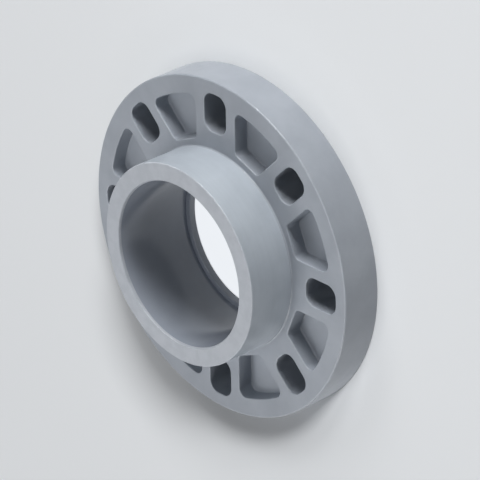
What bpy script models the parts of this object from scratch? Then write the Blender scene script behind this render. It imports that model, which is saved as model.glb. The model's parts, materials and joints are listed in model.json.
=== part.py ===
"""Full-face flange adaptor for a 110 mm plastic pressure pipe.

One moulded piece: a flat flange, a plain collar whose socket takes the pipe up to a stop ring,
eight slots through the flange for bolts on two standard bolt circles, and eight blind pockets
that leave ribs of one width beside the slots. All lengths are in metres.
The mating face lies in the plane z = 0 and the bore runs along +Z, towards the collar's mouth.
"""

import math

import bmesh
import bpy
from mathutils import Matrix

# Socket and collar, from the pipe outwards
PIPE_DIAMETER = 0.110
SOCKET_CLEARANCE = 0.00015  # between the pipe and the socket's wall, on the radius
COLLAR_WALL = 0.01245
COLLAR_LENGTH = 0.034  # from the flange's front face to the collar's end
COLLAR_EDGE_ROUND = 0.0008
LEAD_IN_WIDTH = 0.0008  # on the radius
LEAD_IN_DEPTH = 0.0016
ROOT_FILLET = 0.001  # where the collar leaves the flange

# Stop ring at the bottom of the socket
STOP_WIDTH = 0.00335  # how far the ring reaches in from the socket's wall
STOP_HEIGHT = 0.0046
STOP_EDGE_ROUND = 0.0006

# Flange
FLANGE_THICKNESS = 0.028
RIM_EDGE_ROUND = 0.001
RIM_WIDTH = 0.0090  # from a slot's outer end to the flange's rim

# Bolt slots
SLOT_COUNT = 8
SLOT_WIDTH = 0.0195
SLOT_LENGTH = 0.0258
SLOT_CORNER = 0.0073
SLOT_LAND = 0.0111  # from the root fillet to a slot's inner end
SLOT_EDGE_ROUND = 0.00065

# Pockets between the slots
RIB_WIDTH = 0.0080  # between a pocket's side and the slot beside it
POCKET_DEPTH = 0.0105
POCKET_RIM_WIDTH = 0.0128  # from a pocket's outer wall to the flange's rim
POCKET_LAND = 0.0036  # from the root fillet to a pocket's straight inner wall
POCKET_OUTER_CORNER = 0.0052
POCKET_INNER_CORNER = 0.0040
POCKET_FLOOR_FILLET = 0.0008
POCKET_EDGE_ROUND = 0.00065
POCKET_DRAFT = math.radians(2.0)

# Sealing grooves in the mating face
GROOVE_COUNT = 3
GROOVE_PITCH = 0.006
GROOVE_WIDTH = 0.0014
GROOVE_DEPTH = 0.0006
FIRST_GROOVE_OFFSET = 0.007  # from the bore's edge to the first groove

# Fineness of the round forms
TURN_STEPS = 96
ROUND_STEPS = 2
FILLET_STEPS = 2
CORNER_STEPS = 3
SLOT_CORNER_STEPS = 4
POCKET_ARC_STEPS = 6
POCKET_FILLET_STEPS = 2
SHARP_ANGLE = math.radians(32.0)

CENTRE = (0.0, 0.0, 0.0)
BORE_AXIS = (0.0, 0.0, 1.0)
CUT_OVERRUN = 0.002  # how far a cutter stands out of the face it cuts

# Sizes that follow from the ones above
SOCKET_RADIUS = PIPE_DIAMETER / 2 + SOCKET_CLEARANCE
STOP_RADIUS = SOCKET_RADIUS - STOP_WIDTH
COLLAR_RADIUS = SOCKET_RADIUS + COLLAR_WALL
ROOT_RADIUS = COLLAR_RADIUS + ROOT_FILLET
SLOT_CIRCLE_RADIUS = ROOT_RADIUS + SLOT_LAND + SLOT_LENGTH / 2
FLANGE_RADIUS = SLOT_CIRCLE_RADIUS + SLOT_LENGTH / 2 + RIM_WIDTH
HEIGHT = FLANGE_THICKNESS + COLLAR_LENGTH
PITCH_ANGLE = 2 * math.pi / SLOT_COUNT


def clear_objects():
    """Remove every object that the scene starts with."""
    for old in list(bpy.data.objects):
        bpy.data.objects.remove(old, do_unlink=True)


def arc(centre_x, centre_y, radius, start, end, steps):
    """Points of an arc from one angle to another, both ends included."""
    sweep = end - start
    angles = [start + sweep * step / steps for step in range(steps + 1)]
    return [(centre_x + radius * math.cos(a), centre_y + radius * math.sin(a)) for a in angles]


def body_profile():
    """Half section of the adaptor as (radius, height) points, once round the outline."""
    quarter = math.pi / 2
    points = []

    # Stop ring, with its lower and upper edges rounded, then the shoulder that the pipe meets
    stop_x = STOP_RADIUS + STOP_EDGE_ROUND
    stop_z = STOP_HEIGHT - STOP_EDGE_ROUND
    points += arc(stop_x, STOP_EDGE_ROUND, STOP_EDGE_ROUND, -quarter, -2 * quarter, ROUND_STEPS)
    points += arc(stop_x, stop_z, STOP_EDGE_ROUND, 2 * quarter, quarter, ROUND_STEPS)
    points.append((SOCKET_RADIUS, STOP_HEIGHT))

    # Socket wall, lead-in and the collar's end
    points.append((SOCKET_RADIUS, HEIGHT - LEAD_IN_DEPTH))
    points.append((SOCKET_RADIUS + LEAD_IN_WIDTH, HEIGHT))
    edge_x = COLLAR_RADIUS - COLLAR_EDGE_ROUND
    edge_z = HEIGHT - COLLAR_EDGE_ROUND
    points += arc(edge_x, edge_z, COLLAR_EDGE_ROUND, quarter, 0.0, ROUND_STEPS)

    # Collar wall, and the hollow fillet down to the flange's front face
    fillet_z = FLANGE_THICKNESS + ROOT_FILLET
    points += arc(ROOT_RADIUS, fillet_z, ROOT_FILLET, 2 * quarter, 3 * quarter, FILLET_STEPS)

    # Rim, rounded at both faces
    rim_x = FLANGE_RADIUS - RIM_EDGE_ROUND
    rim_z = FLANGE_THICKNESS - RIM_EDGE_ROUND
    points += arc(rim_x, rim_z, RIM_EDGE_ROUND, quarter, 0.0, ROUND_STEPS)
    points += arc(rim_x, RIM_EDGE_ROUND, RIM_EDGE_ROUND, 0.0, -quarter, ROUND_STEPS)

    # Grooves, from the outermost inwards
    for groove in reversed(range(GROOVE_COUNT)):
        middle = STOP_RADIUS + FIRST_GROOVE_OFFSET + groove * GROOVE_PITCH
        points.append((middle + GROOVE_WIDTH / 2, 0.0))
        points.append((middle, GROOVE_DEPTH))
        points.append((middle - GROOVE_WIDTH / 2, 0.0))
    return points


def slot_outline(grow):
    """Bolt slot whose long axis lies on +X: straight sides and ends, round corners, all widened by grow."""
    quarter = math.pi / 2
    reach_x = SLOT_LENGTH / 2 - SLOT_CORNER
    reach_y = SLOT_WIDTH / 2 - SLOT_CORNER
    corners = [(1, 1), (-1, 1), (-1, -1), (1, -1)]
    points = []
    for turn, (side_x, side_y) in enumerate(corners):
        centre_x = SLOT_CIRCLE_RADIUS + side_x * reach_x
        centre_y = side_y * reach_y
        start = turn * quarter
        points += arc(centre_x, centre_y, SLOT_CORNER + grow, start, start + quarter, SLOT_CORNER_STEPS)
    return points


def pocket_outline(grow):
    """Pocket whose middle lies on +X, widened all round by grow.

    The outer wall follows the rim and the inner wall is straight. Each side runs parallel to the
    middle line of the slot beside it, so the rib between them has one width along its length.
    """
    slot_angle = PITCH_ANGLE / 2
    along_x, along_y = math.cos(slot_angle), math.sin(slot_angle)
    outer_radius = FLANGE_RADIUS - POCKET_RIM_WIDTH + grow
    inner_x = ROOT_RADIUS + POCKET_LAND - grow
    side_distance = SLOT_WIDTH / 2 + RIB_WIDTH - grow
    outer_corner = POCKET_OUTER_CORNER + grow
    inner_corner = POCKET_INNER_CORNER + grow
    side_normal = slot_angle + math.pi / 2

    # The outer corner's centre is one corner radius inside the outer wall and off the side
    off_side = side_distance + outer_corner
    run = math.sqrt((outer_radius - outer_corner) ** 2 - off_side ** 2)
    outer_cx = run * along_x + off_side * along_y
    outer_cy = run * along_y - off_side * along_x
    corner_start = math.atan2(outer_cy, outer_cx)

    # The inner corner's centre is one corner radius outside the inner wall and off the side
    inner_cx = inner_x + inner_corner
    inner_cy = (inner_cx * along_y - side_distance - inner_corner) / along_x

    outer_wall = arc(0.0, 0.0, outer_radius, -corner_start, corner_start, POCKET_ARC_STEPS)
    upper = arc(outer_cx, outer_cy, outer_corner, corner_start, side_normal, CORNER_STEPS)[1:]
    upper += arc(inner_cx, inner_cy, inner_corner, side_normal, math.pi, CORNER_STEPS)
    lower = [(x, -y) for x, y in reversed(upper)]
    return outer_wall + upper + lower


def edge_flare(face, inward, radius):
    """Heights and widenings that round an edge of a hole, from the wall out to the face.

    inward is +1 where the hole's wall lies above the face, and -1 where it lies below it.
    """
    levels = []
    for step in range(ROUND_STEPS + 1):
        turn = math.pi / 2 * step / ROUND_STEPS
        height = face + inward * radius * (1 - math.sin(turn))
        levels.append((height, radius * (1 - math.cos(turn))))
    return levels


def slot_levels():
    """Heights and widenings of the slot's cutter, from below the mating face upwards."""
    levels = [(-CUT_OVERRUN, SLOT_EDGE_ROUND)]
    levels += reversed(edge_flare(0.0, 1, SLOT_EDGE_ROUND))
    levels += edge_flare(FLANGE_THICKNESS, -1, SLOT_EDGE_ROUND)
    levels.append((FLANGE_THICKNESS + CUT_OVERRUN, SLOT_EDGE_ROUND))
    return levels


def pocket_levels():
    """Heights and widenings of the pocket's cutter, from its floor upwards."""
    floor = FLANGE_THICKNESS - POCKET_DEPTH
    wall_top = FLANGE_THICKNESS - POCKET_EDGE_ROUND
    levels = []
    for step in range(POCKET_FILLET_STEPS):
        turn = math.pi / 2 * step / POCKET_FILLET_STEPS
        height = floor + POCKET_FLOOR_FILLET * (1 - math.cos(turn))
        draft = (wall_top - height) * math.tan(POCKET_DRAFT)
        levels.append((height, -draft - POCKET_FLOOR_FILLET * (1 - math.sin(turn))))
    fillet_top = floor + POCKET_FLOOR_FILLET
    levels.append((fillet_top, -(wall_top - fillet_top) * math.tan(POCKET_DRAFT)))
    levels += edge_flare(FLANGE_THICKNESS, -1, POCKET_EDGE_ROUND)
    levels.append((FLANGE_THICKNESS + CUT_OVERRUN, POCKET_EDGE_ROUND))
    return levels


def finish_mesh(name, bm):
    """Turn a bmesh into an object, round forms shaded smooth and real corners kept sharp."""
    bmesh.ops.recalc_face_normals(bm, faces=bm.faces)
    mesh = bpy.data.meshes.new(name)
    bm.to_mesh(mesh)
    bm.free()
    mesh.shade_smooth()
    mesh.set_sharp_from_angle(angle=SHARP_ANGLE)
    made = bpy.data.objects.new(name, mesh)
    bpy.context.scene.collection.objects.link(made)
    return made


def turned_solid(name, profile):
    """Spin a closed half section once round the Z axis."""
    bm = bmesh.new()
    verts = [bm.verts.new((radius, 0.0, height)) for radius, height in profile]
    edges = [bm.edges.new(pair) for pair in zip(verts, verts[1:] + verts[:1])]
    bmesh.ops.spin(
        bm,
        geom=verts + edges,
        cent=CENTRE,
        axis=BORE_AXIS,
        angle=2 * math.pi,
        steps=TURN_STEPS,
        use_merge=True,
    )
    return finish_mesh(name, bm)


def ring_of_cutters(name, outline_at, levels, first_angle):
    """One closed cutter lofted through its levels, repeated once for each slot's pitch."""
    bm = bmesh.new()
    loops = []
    for height, grow in levels:
        verts = [bm.verts.new((x, y, height)) for x, y in outline_at(grow)]
        loops.append([bm.edges.new(pair) for pair in zip(verts, verts[1:] + verts[:1])])
        if len(loops) in (1, len(levels)):
            bm.faces.new(verts)
    for lower, upper in zip(loops, loops[1:]):
        bmesh.ops.bridge_loops(bm, edges=lower + upper)
    bmesh.ops.rotate(bm, cent=CENTRE, matrix=Matrix.Rotation(first_angle, 3, 'Z'), verts=bm.verts)
    bmesh.ops.spin(
        bm,
        geom=bm.verts[:] + bm.edges[:] + bm.faces[:],
        cent=CENTRE,
        axis=BORE_AXIS,
        angle=PITCH_ANGLE * (SLOT_COUNT - 1),
        steps=SLOT_COUNT - 1,
        use_duplicate=True,
    )
    cutter = finish_mesh(name, bm)
    cutter.display_type = 'WIRE'
    cutter.hide_render = True
    return cutter


def cut(body, cutter):
    """Take the cutter's solids out of the body."""
    boolean = body.modifiers.new(cutter.name, 'BOOLEAN')
    boolean.operation = 'DIFFERENCE'
    boolean.solver = 'EXACT'
    boolean.object = cutter


def moulded_plastic():
    """Blue-grey pipe-fitting plastic with a satin skin."""
    material = bpy.data.materials.new("grey_moulded_plastic")
    material.use_nodes = True
    shader = material.node_tree.nodes["Principled BSDF"]
    shader.inputs["Base Color"].default_value = (0.33, 0.36, 0.40, 1.0)
    shader.inputs["Roughness"].default_value = 0.42
    shader.inputs["Metallic"].default_value = 0.0
    return material


def flange_adaptor():
    """Turn the body, then cut the ring of slots and the ring of pockets from it."""
    body = turned_solid("flange_adaptor_body", body_profile())
    body.data.materials.append(moulded_plastic())
    cut(body, ring_of_cutters("bolt_slot_cutter", slot_outline, slot_levels(), PITCH_ANGLE / 2))
    cut(body, ring_of_cutters("pocket_cutter", pocket_outline, pocket_levels(), 0.0))
    return body


clear_objects()
flange_adaptor()
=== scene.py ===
# %% [markdown]
# # A moulded pipe flange, dressed in its satin grey plastic
#
# The object is a flange adaptor for plastic pipe. It comes out of one injection mould: a thick flange
# with eight bolt slots and eight blind pockets, and a short collar whose socket takes the pipe.
# The CAD model already has every size. This lesson makes the surface that a camera sees: round forms
# fine enough to look turned, edges with their small mould radius, and a plastic with a satin skin.
#
# The frame is loaded first, because it says where the part stands and how large it is.

import json
import math

import bmesh
import bpy
from mathutils import Matrix, Vector

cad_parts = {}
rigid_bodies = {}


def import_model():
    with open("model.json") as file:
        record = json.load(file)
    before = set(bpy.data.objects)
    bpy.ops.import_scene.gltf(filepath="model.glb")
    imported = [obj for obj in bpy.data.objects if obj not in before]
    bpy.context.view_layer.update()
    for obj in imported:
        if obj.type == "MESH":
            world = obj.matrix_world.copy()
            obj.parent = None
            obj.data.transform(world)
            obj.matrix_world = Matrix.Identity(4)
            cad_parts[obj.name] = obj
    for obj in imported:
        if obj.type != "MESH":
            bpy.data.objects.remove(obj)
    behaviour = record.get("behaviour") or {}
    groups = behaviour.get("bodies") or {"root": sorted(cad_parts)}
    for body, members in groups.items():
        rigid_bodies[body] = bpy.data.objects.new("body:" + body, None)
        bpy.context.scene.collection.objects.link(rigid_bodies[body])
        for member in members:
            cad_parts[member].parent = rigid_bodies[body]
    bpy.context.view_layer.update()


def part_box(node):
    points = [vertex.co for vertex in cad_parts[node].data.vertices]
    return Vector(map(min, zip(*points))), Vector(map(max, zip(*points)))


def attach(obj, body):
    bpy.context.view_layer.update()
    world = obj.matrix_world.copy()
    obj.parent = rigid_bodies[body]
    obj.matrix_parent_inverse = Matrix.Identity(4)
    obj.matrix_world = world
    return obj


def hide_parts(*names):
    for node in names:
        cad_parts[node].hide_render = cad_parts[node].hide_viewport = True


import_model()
low_corner, high_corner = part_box("flange_adaptor_body")
print("CAD body, mm:", [round(size * 1000, 2) for size in high_corner - low_corner])

# %% [markdown]
# ## Sizes
#
# A mould maker draws this part from a half section and two outlines. The outer sizes come from the
# frame, so the dressed piece can't grow past the CAD model. The others are the part's own driving
# sizes. Blender works in metres, so a millimetre is named once and used as a unit.

# %% Driving sizes
MM = 0.001
UP = (0.0, 0.0, 1.0)
ORIGIN = (0.0, 0.0, 0.0)

FLANGE_RADIUS = high_corner.x
HEIGHT = high_corner.z
FLANGE_THICKNESS = 28 * MM
SOCKET_RADIUS = 55.15 * MM
STOP_RADIUS = 51.8 * MM
STOP_HEIGHT = 4.6 * MM
COLLAR_RADIUS = 67.6 * MM

SLOT_COUNT = 8
SLOT_PITCH = 2 * math.pi / SLOT_COUNT
SLOT_WIDTH = 19.5 * MM
SLOT_LENGTH = 25.8 * MM
SLOT_CORNER = 7.3 * MM
SLOT_CIRCLE_RADIUS = 92.6 * MM

RIB_WIDTH = 8.0 * MM
POCKET_DEPTH = 10.5 * MM
POCKET_OUTER_RADIUS = FLANGE_RADIUS - 12.8 * MM
POCKET_INNER_WALL = 72.2 * MM
POCKET_OUTER_CORNER = 5.2 * MM
POCKET_INNER_CORNER = 4.0 * MM
POCKET_DRAFT = math.radians(2.0)

# Radii that a mould leaves where two faces meet
HOLE_EDGE = 0.65 * MM
RIM_EDGE = 1.0 * MM
COLLAR_EDGE = 0.8 * MM
STOP_EDGE = 0.6 * MM
ROOT_FILLET = 1.0 * MM
FLOOR_FILLET = 0.8 * MM
LEAD_IN = (0.8 * MM, 1.6 * MM)
print("flange radius and height, mm:", round(FLANGE_RADIUS / MM, 2), round(HEIGHT / MM, 2))

# %% [markdown]
# ## The turned body
#
# Flange, collar, socket and stop ring all share one axis, so the whole body is one half section spun
# round it. The section starts as a polygon with square corners. Each corner is then bevelled as a
# vertex, which draws a true arc where two edges meet at a right angle: the same tool rounds the rim
# outwards and hollows the fillet at the collar's foot.

# %% Draw the half section
TURN_STEPS = 288
CORNERS = [
    # radius, height, size of the rounding, steps in it
    (STOP_RADIUS, 0.0, STOP_EDGE, 4),
    (STOP_RADIUS, STOP_HEIGHT, STOP_EDGE, 4),
    (SOCKET_RADIUS, STOP_HEIGHT, 0.0, 0),
    (SOCKET_RADIUS, HEIGHT - LEAD_IN[1], 0.0, 0),
    (SOCKET_RADIUS + LEAD_IN[0], HEIGHT, 0.0, 0),
    (COLLAR_RADIUS, HEIGHT, COLLAR_EDGE, 5),
    (COLLAR_RADIUS, FLANGE_THICKNESS, ROOT_FILLET, 6),
    (FLANGE_RADIUS, FLANGE_THICKNESS, RIM_EDGE, 5),
    (FLANGE_RADIUS, 0.0, RIM_EDGE, 5),
]
GROOVE_COUNT = 3
GROOVE_PITCH = 6 * MM
GROOVE_WIDTH = 1.4 * MM
GROOVE_DEPTH = 0.6 * MM
FIRST_GROOVE = STOP_RADIUS + 7 * MM


def sealing_grooves():
    """Points of the shallow V grooves in the mating face, from the outermost inwards."""
    points = []
    for groove in reversed(range(GROOVE_COUNT)):
        middle = FIRST_GROOVE + groove * GROOVE_PITCH
        points.append((middle + GROOVE_WIDTH / 2, 0.0))
        points.append((middle, GROOVE_DEPTH))
        points.append((middle - GROOVE_WIDTH / 2, 0.0))
    return points


def half_section():
    """The section as a face in the XZ plane, with every corner given its rounding."""
    section = bmesh.new()
    corners = [section.verts.new((radius, 0.0, height)) for radius, height, _, _ in CORNERS]
    grooves = [section.verts.new((radius, 0.0, height)) for radius, height in sealing_grooves()]
    section.faces.new(corners + grooves)
    for vert, (_, _, rounding, steps) in zip(corners, CORNERS):
        if steps:
            bmesh.ops.bevel(
                section,
                geom=[vert],
                offset=rounding,
                offset_type='OFFSET',
                affect='VERTICES',
                segments=steps,
                profile=0.5,
                material=-1,
            )
    return section


section = half_section()
print("half section:", len(section.verts), "points")

# %% [markdown]
# The face itself is thrown away and only its outline is spun, with `use_merge` so that the last step
# joins the first. The front face then has one thin quad for every step. The slots and pockets will be
# cut through it, and a cut is cleaner in few big faces, so the radial edges are dissolved except for
# one in the solid middle of each rib, where no cut runs.

# %% Choose the edges that stay
RIB_RAY = math.radians(8.75)  # on each side of a slot's middle line
SAME_PLACE = 0.001 * MM
LONG_EDGE = 20 * MM


def close_to(value, wanted):
    """True where two lengths are the same to a hair."""
    return abs(value - wanted) < SAME_PLACE


def in_rib(edge):
    """True for a radial edge of a flat face that runs along the middle of a rib."""
    middle = (edge.verts[0].co + edge.verts[1].co) / 2
    from_slot = math.remainder(math.atan2(middle.y, middle.x) - SLOT_PITCH / 2, SLOT_PITCH)
    return abs(abs(from_slot) - RIB_RAY) < math.pi / TURN_STEPS / 2


def radial_edges(bm, height, inner_radius):
    """Edges of a flat ring that run outwards from near inner_radius."""
    found = []
    for edge in bm.edges:
        near, far = sorted(math.hypot(vert.co.x, vert.co.y) for vert in edge.verts)
        flat = all(close_to(vert.co.z, height) for vert in edge.verts)
        if flat and far - near > LONG_EDGE and near > inner_radius - MM:
            found.append(edge)
    return found


print("edges to keep:", round(math.degrees(RIB_RAY), 2), "degrees beside each slot's middle line")

# %% Spin the section
def turned_body(section):
    """Spin the section into one closed solid and thin out its front face's edges."""
    bmesh.ops.delete(section, geom=section.faces[:], context='FACES_ONLY')
    bmesh.ops.spin(
        section,
        geom=section.verts[:] + section.edges[:],
        cent=ORIGIN,
        axis=UP,
        angle=2 * math.pi,
        steps=TURN_STEPS,
        use_merge=True,
    )
    bmesh.ops.remove_doubles(section, verts=section.verts[:], dist=SAME_PLACE)
    bmesh.ops.recalc_face_normals(section, faces=section.faces[:])
    front = radial_edges(section, FLANGE_THICKNESS, COLLAR_RADIUS + ROOT_FILLET)
    back = radial_edges(section, 0.0, COLLAR_RADIUS)
    spare = [edge for edge in front + back if not in_rib(edge)]
    print("radial edges that stay, on both faces:", len(front) + len(back) - len(spare))
    bmesh.ops.dissolve_edges(section, edges=spare, use_verts=False)
    return section


def piece_from(bm, name):
    """Put a bmesh into a new object of the scene, at the origin, and free it."""
    mesh = bpy.data.meshes.new(name)
    bm.to_mesh(mesh)
    bm.free()
    piece = bpy.data.objects.new(name, mesh)
    bpy.context.scene.collection.objects.link(piece)
    return piece


body = piece_from(turned_body(section), "moulded_flange_adaptor")
print("turned body:", len(body.data.polygons), "faces")

# %% [markdown]
# ## Outlines of a slot and a pocket
#
# Both outlines are chains of arcs. An arc is a single point spun about a centre, and the straight
# walls are the edges that join one arc's end to the next one's start. A slot is a rectangle with four
# round corners. A pocket has an outer wall that follows the rim, a straight inner wall, and two sides
# that run parallel to the middle lines of the slots beside it, so that the rib between them keeps one
# width.
#
# Both are drawn at the size they have in the front face, which is wider than the hole by the radius
# of its edge.

# %% Arcs and closed outlines
ARC_STEPS = 16  # in a quarter turn of a slot's corner


def draw_arc(bm, centre, radius, start, end, steps):
    """Spin one point about a centre. Returns the arc's first and last vertex."""
    place = Vector((centre[0] + radius * math.cos(start), centre[1] + radius * math.sin(start), 0.0))
    first = bm.verts.new(place)
    made = bmesh.ops.spin(
        bm,
        geom=[first],
        cent=(centre[0], centre[1], 0.0),
        axis=UP,
        angle=end - start,
        steps=steps,
        use_merge=False,
    )
    last = next(item for item in made["geom_last"] if isinstance(item, bmesh.types.BMVert))
    return first, last


def outline_face(arcs):
    """A new bmesh with one flat face, bounded by these arcs and the straight walls between them."""
    bm = bmesh.new()
    ends = [draw_arc(bm, *arc) for arc in arcs]
    for (_, last), (first, _) in zip(ends, ends[1:] + ends[:1]):
        bm.edges.new((last, first))
    made = bmesh.ops.contextual_create(bm, geom=bm.edges[:])
    face = made["faces"][0]
    if face.normal.z < 0:
        bmesh.ops.reverse_faces(bm, faces=[face])
    return bm, face


print("arc steps in a quarter turn:", ARC_STEPS)

# %% Outline of a slot
def slot_arcs():
    """The four round corners of a slot that points along +X."""
    quarter = math.pi / 2
    reach_x = SLOT_LENGTH / 2 - SLOT_CORNER
    reach_y = SLOT_WIDTH / 2 - SLOT_CORNER
    arcs = []
    for turn, (side_x, side_y) in enumerate([(1, 1), (-1, 1), (-1, -1), (1, -1)]):
        centre = (SLOT_CIRCLE_RADIUS + side_x * reach_x, side_y * reach_y)
        start = turn * quarter
        arcs.append((centre, SLOT_CORNER + HOLE_EDGE, start, start + quarter, ARC_STEPS))
    return arcs


slot_size = [round((size + 2 * HOLE_EDGE) / MM, 2) for size in (SLOT_LENGTH, SLOT_WIDTH)]
print("slot in the front face, mm:", slot_size)

# %% Outline of a pocket
OUTER_WALL_STEPS = 24


def pocket_arcs():
    """The outer wall and the four corners of a pocket whose middle lies on +X."""
    tilt = SLOT_PITCH / 2  # the sides follow the slots' middle lines, half a pitch away
    along, across = math.cos(tilt), math.sin(tilt)
    side = SLOT_WIDTH / 2 + RIB_WIDTH
    side_facing = tilt + math.pi / 2

    # The centre of an outer corner is one corner radius inside the outer wall and off the side
    off_side = side + POCKET_OUTER_CORNER
    run = math.sqrt((POCKET_OUTER_RADIUS - POCKET_OUTER_CORNER) ** 2 - off_side ** 2)
    outer_centre = (run * along + off_side * across, run * across - off_side * along)
    bearing = math.atan2(outer_centre[1], outer_centre[0])

    # The centre of an inner corner is one corner radius outside the inner wall and off the side
    inner_x = POCKET_INNER_WALL + POCKET_INNER_CORNER
    inner_centre = (inner_x, (inner_x * across - side - POCKET_INNER_CORNER) / along)

    outer_radius = POCKET_OUTER_CORNER + HOLE_EDGE
    inner_radius = POCKET_INNER_CORNER + HOLE_EDGE
    mirrored_outer = (outer_centre[0], -outer_centre[1])
    mirrored_inner = (inner_centre[0], -inner_centre[1])
    return [
        (ORIGIN, POCKET_OUTER_RADIUS + HOLE_EDGE, -bearing, bearing, OUTER_WALL_STEPS),
        (outer_centre, outer_radius, bearing, side_facing, ARC_STEPS // 2),
        (inner_centre, inner_radius, side_facing, math.pi, ARC_STEPS // 2),
        (mirrored_inner, inner_radius, math.pi, 2 * math.pi - side_facing, ARC_STEPS // 2),
        (mirrored_outer, outer_radius, -side_facing, -bearing, ARC_STEPS // 2),
    ]


print("radii in a pocket's outline, mm:", [round(radius / MM, 2) for _, radius, *_ in pocket_arcs()])

# %% [markdown]
# ## Cutters as stacks of insets
#
# `inset_region` moves a face inwards and, with a depth, along its normal in the same go. So a wall of
# any section is a short list of steps, each a pair: how far in, and how far down. A rounded edge, a
# drafted wall and a hollow fillet at the floor are three such lists, one after the other.
# The cutter grows downwards from the front face, and stands out of it a little, so that the Boolean
# never has two faces in one plane.

# %% Steps of a wall
EDGE_STEPS = 5
FILLET_STEPS = 7
OVERRUN = 2 * MM


def rounded_edge(radius, steps):
    """Steps that turn from the flat face into the wall."""
    angles = [math.pi / 2 * step / steps for step in range(steps + 1)]
    turns = zip(angles, angles[1:])
    return [(radius * (math.sin(b) - math.sin(a)), radius * (math.cos(a) - math.cos(b))) for a, b in turns]


def hollow_fillet(radius, steps):
    """Steps that turn from the wall into the floor."""
    return [(inward, down) for down, inward in rounded_edge(radius, steps)]


def carve(bm, face, steps):
    """Raise a lid above the face for the overrun, then sink the face step by step. Returns the floor."""
    lid = bmesh.ops.extrude_face_region(bm, geom=[face], use_keep_orig=True)
    sunk = next(item for item in lid["geom"] if isinstance(item, bmesh.types.BMFace))
    bmesh.ops.translate(bm, vec=(0.0, 0.0, OVERRUN), verts=face.verts[:])
    for inward, down in steps:
        bmesh.ops.inset_region(bm, faces=[sunk], thickness=inward, depth=-down, use_even_offset=True)
    return sunk


depths = [round(down / MM, 3) for _, down in rounded_edge(HOLE_EDGE, EDGE_STEPS)]
print("a hole's rounded edge goes down in steps of, mm:", depths)

# %% [markdown]
# A slot is open at both faces and the same at both, so only its upper half is carved. The floor of
# that half is deleted and the rest mirrored through the flange's middle plane. A pocket is blind: its
# wall leans by the draft that lets the moulding leave the tool, and it ends in the floor fillet.

# %% Slot and pocket cutters
def slot_cutter():
    """Half a slot, carved down to the middle of the flange and mirrored."""
    bm, face = outline_face(slot_arcs())
    half_wall = (0.0, FLANGE_THICKNESS / 2 - HOLE_EDGE)
    middle = carve(bm, face, rounded_edge(HOLE_EDGE, EDGE_STEPS) + [half_wall])
    bmesh.ops.delete(bm, geom=[middle], context='FACES_ONLY')
    bmesh.ops.translate(bm, vec=(0.0, 0.0, FLANGE_THICKNESS / 2), verts=bm.verts[:])
    bmesh.ops.mirror(bm, geom=bm.faces[:] + bm.edges[:] + bm.verts[:], axis='Z', merge_dist=SAME_PLACE)
    bmesh.ops.translate(bm, vec=(0.0, 0.0, FLANGE_THICKNESS / 2), verts=bm.verts[:])
    return bm


def pocket_cutter():
    """One pocket, carved from the front face to its floor."""
    bm, face = outline_face(pocket_arcs())
    wall = POCKET_DEPTH - HOLE_EDGE - FLOOR_FILLET
    steps = rounded_edge(HOLE_EDGE, EDGE_STEPS)
    steps.append((wall * math.tan(POCKET_DRAFT), wall))
    steps += hollow_fillet(FLOOR_FILLET, FILLET_STEPS)
    carve(bm, face, steps)
    bmesh.ops.translate(bm, vec=(0.0, 0.0, FLANGE_THICKNESS), verts=bm.verts[:])
    return bm


one_slot = slot_cutter()
one_pocket = pocket_cutter()
print("one slot and one pocket:", len(one_slot.faces), "and", len(one_pocket.faces), "faces")

# %% Rings of eight
def ring_of(bm, first_angle):
    """Repeat one cutter round the axis, once for each slot's pitch."""
    bmesh.ops.remove_doubles(bm, verts=bm.verts[:], dist=SAME_PLACE)
    bmesh.ops.recalc_face_normals(bm, faces=bm.faces[:])
    bmesh.ops.rotate(bm, cent=ORIGIN, matrix=Matrix.Rotation(first_angle, 3, 'Z'), verts=bm.verts[:])
    bmesh.ops.spin(
        bm,
        geom=bm.verts[:] + bm.edges[:] + bm.faces[:],
        cent=ORIGIN,
        axis=UP,
        angle=SLOT_PITCH * (SLOT_COUNT - 1),
        steps=SLOT_COUNT - 1,
        use_duplicate=True,
    )
    bmesh.ops.recalc_face_normals(bm, faces=bm.faces[:])
    return bm


slot_cutters = piece_from(ring_of(one_slot, SLOT_PITCH / 2), "slot_cutters")
pocket_cutters = piece_from(ring_of(one_pocket, 0.0), "pocket_cutters")
print("cutters:", len(slot_cutters.data.polygons), "and", len(pocket_cutters.data.polygons), "faces")

# %% [markdown]
# ## Cutting and shading
#
# Two Boolean modifiers take the cutters out of the body. Their result is baked into a plain mesh, and
# the cutters are thrown away, so that the finished piece stands on its own.
#
# Big flat faces next to tiny roundings shade badly when every vertex just averages its neighbours.
# The Weighted Normal modifier lets the larger face win, which keeps the flats flat and puts the whole
# turn of the highlight into the rounding.

# %% Cut the body
def take_out(piece, cutter):
    """Subtract a cutter from a piece with an exact Boolean, then remove the cutter."""
    boolean = piece.modifiers.new(cutter.name, 'BOOLEAN')
    boolean.operation = 'DIFFERENCE'
    boolean.solver = 'EXACT'
    boolean.object = cutter
    evaluated = piece.evaluated_get(bpy.context.evaluated_depsgraph_get())
    cut_mesh = bpy.data.meshes.new_from_object(evaluated)
    piece.modifiers.clear()
    piece.data = cut_mesh
    bpy.data.objects.remove(cutter)


take_out(body, slot_cutters)
take_out(body, pocket_cutters)
body.data.name = body.name
print("after the cuts:", len(body.data.polygons), "faces")

# %% Shade it
SHARP_ANGLE = math.radians(38.0)
body.data.shade_smooth()
body.data.set_sharp_from_angle(angle=SHARP_ANGLE)
weighted = body.modifiers.new("flats_stay_flat", 'WEIGHTED_NORMAL')
weighted.mode = 'FACE_AREA'
weighted.keep_sharp = True
sharp = sum(edge.use_edge_sharp for edge in body.data.edges)
print("sharp edges:", sharp, "of", len(body.data.edges))

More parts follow.
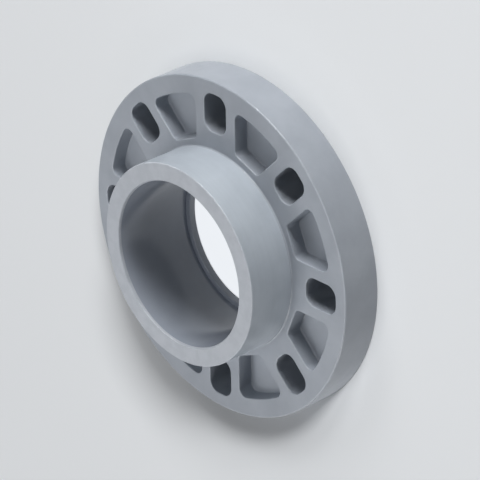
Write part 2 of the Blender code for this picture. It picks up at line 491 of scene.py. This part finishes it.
# %% [markdown]
# ## Satin plastic
#
# Unplasticised PVC for pressure pipe is a solid blue-grey. It leaves the mould with a fine dull grain
# from the tool's surface, very slight waves where the wall cooled unevenly, and pigment that is mixed
# almost, but not quite, evenly. Handling rubs it a little more in some spots than in others. All of
# this is far too fine to model, so noise textures draw it in the material.
#
# The colour, the gloss and the bump share these patterns, so they live in one node group. It reads
# nothing but Object coordinates, and it gives out only patterns and masks, so it can be exported.

# %% Node helpers and the group
def link(tree, from_socket, to_socket):
    """Join two sockets of a node tree."""
    tree.links.new(from_socket, to_socket)


def math_node(tree, operation, first, second):
    """A Math node whose inputs are sockets or plain numbers."""
    node = tree.nodes.new("ShaderNodeMath")
    node.operation = operation
    for socket, value in zip(node.inputs, (first, second)):
        if isinstance(value, (int, float)):
            socket.default_value = value
        else:
            link(tree, value, socket)
    return node.outputs["Value"]


def new_group(name, outputs):
    """A shader node group that reads Object coordinates and has these outputs of type float."""
    group = bpy.data.node_groups.new(name, 'ShaderNodeTree')
    for output in outputs:
        group.interface.new_socket(output, in_out='OUTPUT', socket_type='NodeSocketFloat')
    coordinates = group.nodes.new("ShaderNodeTexCoord").outputs["Object"]
    return group, coordinates, group.nodes.new("NodeGroupOutput")


SKIN_OUTPUTS = ["Grain", "Waves", "Pigment", "Rubbing", "Marks", "Trimmed", "Skimmed", "Polished"]
skin, skin_place, skin_output = new_group("moulded_skin", SKIN_OUTPUTS)
print("node group:", skin.name, "with", len(skin.interface.items_tree), "outputs")

# %% Patterns of the moulded skin
PATTERNS = {
    # output: scale per metre, detail and roughness of the noise
    "Grain": (1500.0, 2.0, 0.6),
    "Waves": (22.0, 1.0, 0.4),
    "Pigment": (38.0, 4.0, 0.55),
    "Rubbing": (140.0, 3.0, 0.6),
}
SPREADS = {
    # the part of a noise's range that is stretched to run from 0 to 1
    "Pigment": (0.3, 0.7),
    "Rubbing": (0.35, 0.65),
}


def noise(tree, vector, scale, detail, roughness):
    """A noise texture on a given vector."""
    node = tree.nodes.new("ShaderNodeTexNoise")
    node.inputs["Scale"].default_value = scale
    node.inputs["Detail"].default_value = detail
    node.inputs["Roughness"].default_value = roughness
    link(tree, vector, node.inputs["Vector"])
    return node.outputs["Fac"]


def remap(tree, value, from_low, from_high, to_low, to_high):
    """Stretch a value from one range to another, with a soft start and end."""
    node = tree.nodes.new("ShaderNodeMapRange")
    node.interpolation_type = 'SMOOTHSTEP'
    node.inputs["From Min"].default_value = from_low
    node.inputs["From Max"].default_value = from_high
    node.inputs["To Min"].default_value = to_low
    node.inputs["To Max"].default_value = to_high
    link(tree, value, node.inputs["Value"])
    return node.outputs["Result"]


for name, settings in PATTERNS.items():
    pattern = noise(skin, skin_place, *settings)
    if name in SPREADS:
        pattern = remap(skin, pattern, *SPREADS[name], 0.0, 1.0)
    link(skin, pattern, skin_output.inputs[name])
print("patterns:", ", ".join(PATTERNS))

# %% [markdown]
# ## Places where the skin differs
#
# Three places look different in the photograph. The socket's wall is glossier and a deeper blue, as a
# wall is that forms round a polished core. The collar's outside is a little paler and slightly cloudy.
# It may have been skimmed on a lathe, so it gets tool marks that hardly show. The collar's end and the
# socket's lead-in are paler still, more matt and less blue, as plastic is where a trim takes the skin
# off. The code calls the three places polished, skimmed and trimmed.
#
# Four materials with the faces shared out between them would do too. One material with a mask for each
# place keeps the piece in one slot, and the patterns run on from one place to the next. On a turned
# part, a point's height and its distance from the axis are enough to tell where it lies.

# %% Height and distance of a point
def distance_from_axis(tree, place):
    """How far a point is from the bore's axis."""
    flat = tree.nodes.new("ShaderNodeVectorMath")
    flat.operation = 'MULTIPLY'
    flat.inputs[1].default_value = (1.0, 1.0, 0.0)
    link(tree, place, flat.inputs[0])
    length = tree.nodes.new("ShaderNodeVectorMath")
    length.operation = 'LENGTH'
    link(tree, flat.outputs["Vector"], length.inputs[0])
    return length.outputs["Value"]


def height_above_bench(tree, place):
    """The Z coordinate of a point."""
    split = tree.nodes.new("ShaderNodeSeparateXYZ")
    link(tree, place, split.inputs["Vector"])
    return split.outputs["Z"]


skin_height = height_above_bench(skin, skin_place)
skin_radius = distance_from_axis(skin, skin_place)
print("height runs to", round(HEIGHT / MM, 1), "mm and distance to", round(FLANGE_RADIUS / MM, 1), "mm")

# %% Masks of the places
TRIM_DEPTH = 0.5 * MM
INSIDE_MARGIN = 0.3 * MM
OUTSIDE_MARGIN = 1.0 * MM


def trimmed_end(tree, height, radius):
    """A mask that is 1 on the collar's end, most of its rounding and the lead-in, and 0 on the rest."""
    end = math_node(tree, 'GREATER_THAN', height, HEIGHT - TRIM_DEPTH)
    beside_lead_in = math_node(tree, 'GREATER_THAN', height, HEIGHT - LEAD_IN[1])
    in_mouth = math_node(tree, 'LESS_THAN', radius, SOCKET_RADIUS + 2 * LEAD_IN[0])
    return math_node(tree, 'MAXIMUM', end, math_node(tree, 'MULTIPLY', beside_lead_in, in_mouth))


def skimmed_outside(tree, height, radius):
    """A mask that is 1 on the collar's outside, above its fillet, and 0 on the rest."""
    above_fillet = math_node(tree, 'GREATER_THAN', height, FLANGE_THICKNESS + ROOT_FILLET)
    outside = math_node(tree, 'GREATER_THAN', radius, COLLAR_RADIUS - OUTSIDE_MARGIN)
    return math_node(tree, 'MULTIPLY', above_fillet, outside)


def polished_socket(tree, height, radius):
    """A mask that is 1 on the wall of the socket and on the stop ring, and 0 on the rest."""
    below_lead_in = math_node(tree, 'LESS_THAN', height, HEIGHT - LEAD_IN[1])
    inside = math_node(tree, 'LESS_THAN', radius, SOCKET_RADIUS + INSIDE_MARGIN)
    return math_node(tree, 'MULTIPLY', below_lead_in, inside)


skimmed = skimmed_outside(skin, skin_height, skin_radius)
link(skin, trimmed_end(skin, skin_height, skin_radius), skin_output.inputs["Trimmed"])
link(skin, skimmed, skin_output.inputs["Skimmed"])
link(skin, polished_socket(skin, skin_height, skin_radius), skin_output.inputs["Polished"])
print("collar skimmed above", round((FLANGE_THICKNESS + ROOT_FILLET) / MM, 1), "mm,", end=" ")
print("its end trimmed above", round((HEIGHT - TRIM_DEPTH) / MM, 1), "mm")

# %% [markdown]
# A lathe tool leaves marks that run round the part. Noise gets that grain when its coordinates are
# squeezed at right angles to the axis: the pattern then changes far more slowly round the collar than
# along it.

# %% Lathe marks
MARKS_SQUEEZE = (0.05, 0.05, 1.0)
MARKS_NOISE = (480.0, 2.0, 0.5)
MARKS_SPREAD = (0.3, 0.7)


def lathe_marks(tree, place):
    """Noise that is drawn out round the axis, like the fine marks of a lathe tool."""
    squeezed = tree.nodes.new("ShaderNodeVectorMath")
    squeezed.operation = 'MULTIPLY'
    squeezed.inputs[1].default_value = MARKS_SQUEEZE
    link(tree, place, squeezed.inputs[0])
    return remap(tree, noise(tree, squeezed.outputs["Vector"], *MARKS_NOISE), *MARKS_SPREAD, 0.0, 1.0)


marks = math_node(skin, 'MULTIPLY', lathe_marks(skin, skin_place), skimmed)
link(skin, marks, skin_output.inputs["Marks"])
print("marks about", round(1000 / MARKS_NOISE[0], 1), "mm wide, drawn out", 1 / MARKS_SQUEEZE[0], "times")

# %% [markdown]
# ## Colour, gloss and bump
#
# Every place has a darker and a lighter tone that are only a few hundredths apart, and a pattern that
# blends them. The masks then layer the places over each other. Gloss and bump are sums, in which each
# pattern or place adds its own small share.

# %% Colour of the plastic
SKIN_DARK = (0.308, 0.335, 0.376, 1.0)
SKIN_LIGHT = (0.352, 0.381, 0.424, 1.0)
SOCKET_DARK = (0.314, 0.346, 0.402, 1.0)
SOCKET_LIGHT = (0.338, 0.370, 0.426, 1.0)
SKIMMED_DARK = (0.356, 0.393, 0.436, 1.0)
SKIMMED_LIGHT = (0.416, 0.458, 0.502, 1.0)
TRIMMED_DARK = (0.425, 0.453, 0.495, 1.0)
TRIMMED_LIGHT = (0.466, 0.494, 0.538, 1.0)
MARKS_SHARE = 0.2


def colour_mix(tree, factor, first, second):
    """A colour between two, each a socket or plain numbers."""
    node = tree.nodes.new("ShaderNodeMix")
    node.data_type = 'RGBA'
    link(tree, factor, node.inputs["Factor"])
    for name, value in (("A", first), ("B", second)):
        if isinstance(value, tuple):
            node.inputs[name].default_value = value
        else:
            link(tree, value, node.inputs[name])
    return node.outputs["Result"]


def plastic_colour(tree, surface):
    """The tones of every place, blended by the patterns and layered by the masks."""
    clouds = math_node(tree, 'MULTIPLY', surface["Pigment"], 1.0 - MARKS_SHARE)
    streaks = math_node(tree, 'MULTIPLY', surface["Marks"], MARKS_SHARE)
    colour = colour_mix(tree, surface["Pigment"], SKIN_DARK, SKIN_LIGHT)
    polished = colour_mix(tree, surface["Pigment"], SOCKET_DARK, SOCKET_LIGHT)
    skimmed = colour_mix(tree, math_node(tree, 'ADD', clouds, streaks), SKIMMED_DARK, SKIMMED_LIGHT)
    trimmed = colour_mix(tree, surface["Rubbing"], TRIMMED_DARK, TRIMMED_LIGHT)
    colour = colour_mix(tree, surface["Polished"], colour, polished)
    colour = colour_mix(tree, surface["Skimmed"], colour, skimmed)
    return colour_mix(tree, surface["Trimmed"], colour, trimmed)


plastic = bpy.data.materials.new("satin_grey_pvc")
plastic.use_nodes = True
plastic_tree = plastic.node_tree
plastic_shader = plastic_tree.nodes["Principled BSDF"]
skin_node = plastic_tree.nodes.new("ShaderNodeGroup")
skin_node.node_tree = skin
colour = plastic_colour(plastic_tree, skin_node.outputs)
link(plastic_tree, colour, plastic_shader.inputs["Base Color"])
print("from the darkest tone", SKIN_DARK[:3], "to the lightest", TRIMMED_LIGHT[:3])

# %% Gloss and bump
SATIN = (0.28, 0.34)  # roughness from the least to the most rubbed spots
TRIMMED_DULLER = 0.25
SOCKET_GLOSSIER = 0.14
PLASTIC_IOR = 1.53
BUMP_HEIGHTS_MM = {"Grain": 0.012, "Marks": 0.002, "Waves": 0.25}


def plastic_roughness(tree, surface):
    """Satin with rubbed spots, duller where it is trimmed and glossier in the socket."""
    satin = remap(tree, surface["Rubbing"], 0.0, 1.0, *SATIN)
    duller = math_node(tree, 'MULTIPLY', surface["Trimmed"], TRIMMED_DULLER)
    glossier = math_node(tree, 'MULTIPLY', surface["Polished"], SOCKET_GLOSSIER)
    return math_node(tree, 'SUBTRACT', math_node(tree, 'ADD', satin, duller), glossier)


def plastic_normal(tree, surface):
    """One Bump node for the sum of the patterns' heights."""
    heights = [math_node(tree, 'MULTIPLY', surface[name], size) for name, size in BUMP_HEIGHTS_MM.items()]
    height = heights[0]
    for more in heights[1:]:
        height = math_node(tree, 'ADD', height, more)
    bump = tree.nodes.new("ShaderNodeBump")
    bump.inputs["Distance"].default_value = MM
    bump.inputs["Strength"].default_value = 1.0
    link(tree, height, bump.inputs["Height"])
    return bump.outputs["Normal"]


roughness = plastic_roughness(plastic_tree, skin_node.outputs)
link(plastic_tree, roughness, plastic_shader.inputs["Roughness"])
link(plastic_tree, plastic_normal(plastic_tree, skin_node.outputs), plastic_shader.inputs["Normal"])
plastic_shader.inputs["IOR"].default_value = PLASTIC_IOR
print("roughness", SATIN, "on the moulded skin,", PLASTIC_IOR, "index of refraction")

# %% Dress the piece
body.data.materials.clear()
body.data.materials.append(plastic)
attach(body, "root")
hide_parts("flange_adaptor_body")
print("piece:", body.name, "with", body.data.materials[0].name)

# %% [markdown]
# ## Camera
#
# The photograph looks into the socket from in front and from one side, with a long lens. Its camera
# was found from the circles of the flange and the collar, and is written here as a person would aim
# one: a point to look at, a bearing, a height, a distance, and a roll of the camera about its own axis.

# %% Aim the camera
CAMERA_TARGET = Vector((4.85 * MM, -28.18 * MM, 31 * MM))
CAMERA_AZIMUTH = math.radians(12.086)
CAMERA_ELEVATION = math.radians(37.296)
CAMERA_DISTANCE = 2.1117
CAMERA_ROLL = math.radians(-113.707)
LENS = 254.1
SENSOR = 36.0


def direction(azimuth, elevation):
    """Unit vector towards a bearing and a height; bearing 0 is the front, along -Y."""
    flat = math.cos(elevation)
    return Vector((math.sin(azimuth) * flat, -math.cos(azimuth) * flat, math.sin(elevation)))


camera = bpy.data.objects.new("camera", bpy.data.cameras.new("camera"))
camera.data.lens = LENS
camera.data.sensor_width = SENSOR
towards_camera = direction(CAMERA_AZIMUTH, CAMERA_ELEVATION)
level_turn = towards_camera.to_track_quat('Z', 'Y').to_matrix().to_4x4()
camera.matrix_world = (
    Matrix.Translation(CAMERA_TARGET + towards_camera * CAMERA_DISTANCE)
    @ level_turn
    @ Matrix.Rotation(CAMERA_ROLL, 4, 'Z')
)
bpy.context.scene.collection.objects.link(camera)
bpy.context.scene.camera = camera
print("camera at", [round(value, 3) for value in camera.matrix_world.translation])

# %% [markdown]
# ## Floor
#
# The floor is a pale matt sheet, like the paper of a small studio. To rays that gather light for
# another surface it is almost black, so that it throws hardly any light back at the part, which is
# lit by lamps that were placed for it. Light Path tells those rays from the ones of the camera and
# the gloss.
#
# The part's lamps light its rim, and the rim throws a pale halo on the sheet beside it. Painted shade
# evens it out: the paper's colour is darker beside the lit side of the rim, and right next to the rim it
# is a little darker still, a painted contact shadow.

# %% Masks of the sheet
FAR_START = 0.7  # metres from the axis
FAR_END = 3.5
HALO_WIDTH = 45 * MM
HALO_SIDE = Vector((0.906, -0.423, 0.0))  # the way in which the lit side of the rim lies
HALO_FROM = -40 * MM
HALO_FULL = 130 * MM


def seen_rays(tree):
    """Light Path's outputs, and a mask of the rays that belong to the camera or to the gloss."""
    ray = tree.nodes.new("ShaderNodeLightPath").outputs
    return ray, math_node(tree, 'MAXIMUM', ray["Is Camera Ray"], ray["Is Glossy Ray"])


def along(tree, place, way):
    """How far a point lies from the axis in one direction."""
    dot = tree.nodes.new("ShaderNodeVectorMath")
    dot.operation = 'DOT_PRODUCT'
    dot.inputs[1].default_value = way
    link(tree, place, dot.inputs[0])
    return dot.outputs["Value"]


def painted_shade_beside_rim(tree, place, distance):
    """A mask for the painted shade: 1 beside the lit side of the rim, fading away from it."""
    beside_rim = remap(tree, distance, FLANGE_RADIUS, FLANGE_RADIUS + HALO_WIDTH, 1.0, 0.0)
    lit_side = remap(tree, along(tree, place, HALO_SIDE), HALO_FROM, HALO_FULL, 0.0, 1.0)
    return math_node(tree, 'MULTIPLY', beside_rim, lit_side)


paper = bpy.data.materials.new("pale_sheet")
paper.use_nodes = True
paper_tree = paper.node_tree
paper_shader = paper_tree.nodes["Principled BSDF"]
paper_place = paper_tree.nodes.new("ShaderNodeTexCoord").outputs["Object"]
paper_distance = distance_from_axis(paper_tree, paper_place)
ray, seen = seen_rays(paper_tree)
in_bore = math_node(paper_tree, 'LESS_THAN', paper_distance, STOP_RADIUS)
far_away = remap(paper_tree, paper_distance, FAR_START, FAR_END, 0.0, 1.0)
print("halo", HALO_WIDTH / MM, "mm wide, far sheet from", FAR_START, "to", FAR_END, "m")

# %% Colour of the paper
PAPER_DARK = (0.78, 0.80, 0.82, 1.0)
PAPER_LIGHT = (0.80, 0.82, 0.84, 1.0)
# painted shade: a darker paper for beside the lit side of the rim
PAPER_PAINTED_SHADE = (0.717, 0.735, 0.750, 1.0)
UNLIT = (0.03, 0.03, 0.03, 1.0)
PAPER_NOISE = (3.0, 2.0, 0.5)
PAPER_ROUGHNESS = 0.9
PAPER_SPECULAR = 0.1

unseen = math_node(paper_tree, 'SUBTRACT', 1.0, seen)
dark = math_node(paper_tree, 'MAXIMUM', math_node(paper_tree, 'MAXIMUM', in_bore, unseen), far_away)
clouds = noise(paper_tree, paper_place, *PAPER_NOISE)
plain_paper = colour_mix(paper_tree, clouds, PAPER_DARK, PAPER_LIGHT)
# painted shade beside the rim, laid over the plain paper
halo = painted_shade_beside_rim(paper_tree, paper_place, paper_distance)
paper_with_painted_shade = colour_mix(paper_tree, halo, plain_paper, PAPER_PAINTED_SHADE)
link(paper_tree, colour_mix(paper_tree, dark, paper_with_painted_shade, UNLIT), paper_shader.inputs["Base Color"])
paper_shader.inputs["Roughness"].default_value = PAPER_ROUGHNESS
paper_shader.inputs["Specular IOR Level"].default_value = PAPER_SPECULAR
print("paper from", PAPER_DARK[:3], "to", PAPER_LIGHT[:3])

# %% [markdown]
# The photograph was taken with the flange standing on its rim, so a bright background shows through
# the bore. Here the part lies on its face and shades its own bore, so the sheet gives off white light
# in a round patch inside it. That white goes to the camera and to the gloss of the plastic, and it
# lights nothing. The gloss meets the full white on one side of the patch only, because in a standing
# socket the upper wall mirrors the white table and the rest mirrors the dimmer room.
#
# Far from the part the sheet turns into a pale glow with the tone of the sky, so that a low view shows
# only a faint horizon.

# %% Light that the sheet gives off
WHITE_THROUGH_BORE = (0.84, 0.87, 0.91, 1.0)
BRIGHT_SIDE = Vector((-0.5, 0.866, 0.0))  # the way in which the bright side of the patch lies
BRIGHT_FROM = 18 * MM
DIM_SIDE = 0.45
FAR_GLOW = 0.775

bright_distance = along(paper_tree, paper_place, BRIGHT_SIDE)
bright_side = math_node(paper_tree, 'GREATER_THAN', bright_distance, BRIGHT_FROM)
gloss_sees = math_node(paper_tree, 'MAXIMUM', bright_side, DIM_SIDE)
in_gloss = math_node(paper_tree, 'MULTIPLY', ray["Is Glossy Ray"], gloss_sees)
white = math_node(paper_tree, 'MAXIMUM', ray["Is Camera Ray"], in_gloss)
through_bore = math_node(paper_tree, 'MULTIPLY', in_bore, white)
far_light = math_node(paper_tree, 'MULTIPLY', far_away, FAR_GLOW)
far_off = math_node(paper_tree, 'MULTIPLY', seen, far_light)
given_off = math_node(paper_tree, 'ADD', through_bore, far_off)
link(paper_tree, given_off, paper_shader.inputs["Emission Strength"])
paper_shader.inputs["Emission Color"].default_value = WHITE_THROUGH_BORE
print("white patch:", round(2 * STOP_RADIUS / MM, 1), "mm across, dim side at", DIM_SIDE)

# %% Lay the sheet
FLOOR_SIZE = 12.0
FLOOR_DROP = 0.1 * MM  # keeps the sheet out of the mating face's own plane


def floor_sheet():
    """One flat face under the object."""
    bm = bmesh.new()
    bmesh.ops.create_grid(bm, x_segments=1, y_segments=1, size=FLOOR_SIZE / 2)
    bmesh.ops.translate(bm, vec=(0.0, 0.0, low_corner.z - FLOOR_DROP), verts=bm.verts[:])
    sheet = piece_from(bm, "floor")
    sheet.data.materials.append(paper)
    return sheet


floor = floor_sheet()
print("floor:", FLOOR_SIZE, "m square at", round(floor.bound_box[0][2] / MM, 2), "mm")

# %% [markdown]
# ## Light
#
# The photograph's light looks like one large soft box over a white table. Seen from the part, the box
# is above its rim, the table throws light back from the opposite side, some light comes from behind
# through the bore, and the room adds a little in front of the face. Most of those lamps stand level
# with the sheet here, or below it, where they would rake across it or be cut off by it.
#
# Light linking solves that. It keeps each lamp to the part or to the sheet, and lets only the part
# block it. So the sheet has lamps of its own, far enough away to light it evenly, and they cast the
# part's shadow on it. All lamps are white: the colour comes from the plastic and the paper.

# %% Soft boxes
def lit_by(name, piece):
    """A collection that a lamp can be kept to."""
    collection = bpy.data.collections.new(name)
    collection.objects.link(piece)
    return collection


part_only = lit_by("lit_part", body)
sheet_only = lit_by("lit_sheet", floor)


def soft_box(name, azimuth, elevation, distance, size, power, lit):
    """A white area light that faces the object. It lights what one collection holds."""
    lamp = bpy.data.lights.new(name, 'AREA')
    lamp.shape = 'RECTANGLE'
    lamp.size, lamp.size_y = size
    lamp.energy = power
    light = bpy.data.objects.new(name, lamp)
    away = direction(math.radians(azimuth), math.radians(elevation))
    turn = away.to_track_quat('Z', 'Y').to_matrix().to_4x4()
    light.matrix_world = Matrix.Translation(away * distance) @ turn
    light.visible_camera = False
    light.light_linking.receiver_collection = lit
    light.light_linking.blocker_collection = part_only
    bpy.context.scene.collection.objects.link(light)
    return light


print("light collections:", part_only.name, "and", sheet_only.name)

# %% Place the lamps
PART_LAMPS = [
    # name, azimuth and elevation in degrees, distance and size in metres, watts
    ("box_over_rim", 66.0, 8.0, 2.0, (0.8, 0.8), 28.0),
    ("box_on_the_right", 40.0, 4.0, 2.0, (0.6, 0.4), 10.0),
    ("wide_box_over_rim", 66.0, 0.0, 1.5, (1.2, 1.2), 9.6),
    ("table_light", 284.0, 8.0, 2.0, (0.8, 0.8), 11.5),
    ("table_light_low", 290.0, -12.0, 2.0, (0.8, 0.8), 6.7),
    ("behind_light", 246.0, -35.0, 2.0, (1.0, 1.0), 6.8),
    ("behind_light_right", 290.0, -40.0, 2.0, (1.0, 1.0), 3.4),
    ("room_low", 240.0, 35.0, 2.0, (0.8, 0.8), 8.7),
    ("room_high", 216.0, 62.0, 2.0, (0.8, 0.8), 11.0),
    ("room_in_front", 66.0, 88.0, 2.0, (0.8, 0.8), 8.4),
]
SHEET_LAMPS = [
    ("sheet_key", 30.0, 28.0, 10.0, (1.8, 1.8), 870.0),
    ("sheet_key_beside", 46.0, 27.0, 10.0, (1.8, 1.8), 270.0),
    ("sheet_key_over_rim", 80.0, 27.0, 10.0, (4.0, 4.0), 222.0),
    ("sheet_fill", 220.0, 75.0, 10.0, (5.0, 5.0), 212.0),
]

for lamp_facts in PART_LAMPS:
    soft_box(*lamp_facts, part_only)
for lamp_facts in SHEET_LAMPS:
    soft_box(*lamp_facts, sheet_only)
print("lamps:", len(PART_LAMPS), "for the part,", len(SHEET_LAMPS), "for the sheet")

# %% [markdown]
# ## Room
#
# The room is an even pale sky. The camera and the gloss see it at the tone of a pale backdrop. What it
# lights, it lights at a much lower strength, just enough that no side of the part is ever black.

# %% Pale sky
SKY = (0.93, 0.95, 1.0, 1.0)
SKY_SEEN = 0.7
SKY_LIT = 0.05


def pale_room(seen_strength, lit_strength):
    """An even sky: one strength for what the camera and the gloss see, one for what it lights."""
    world = bpy.data.worlds.new("pale_room")
    world.use_nodes = True
    tree = world.node_tree
    _, seen = seen_rays(tree)
    extra = math_node(tree, 'MULTIPLY', seen, seen_strength - lit_strength)
    strength = math_node(tree, 'ADD', extra, lit_strength)
    link(tree, strength, tree.nodes["Background"].inputs["Strength"])
    tree.nodes["Background"].inputs["Color"].default_value = SKY
    bpy.context.scene.world = world


pale_room(SKY_SEEN, SKY_LIT)
bpy.context.scene.view_settings.view_transform = 'Standard'
print("sky:", SKY_SEEN, "as seen,", SKY_LIT, "as light")

# %% [markdown]
# ## Finish
#
# The view layer is brought up to date at the end. The dressed piece has to stay inside the
# CAD model's box.


bpy.context.view_layer.update()
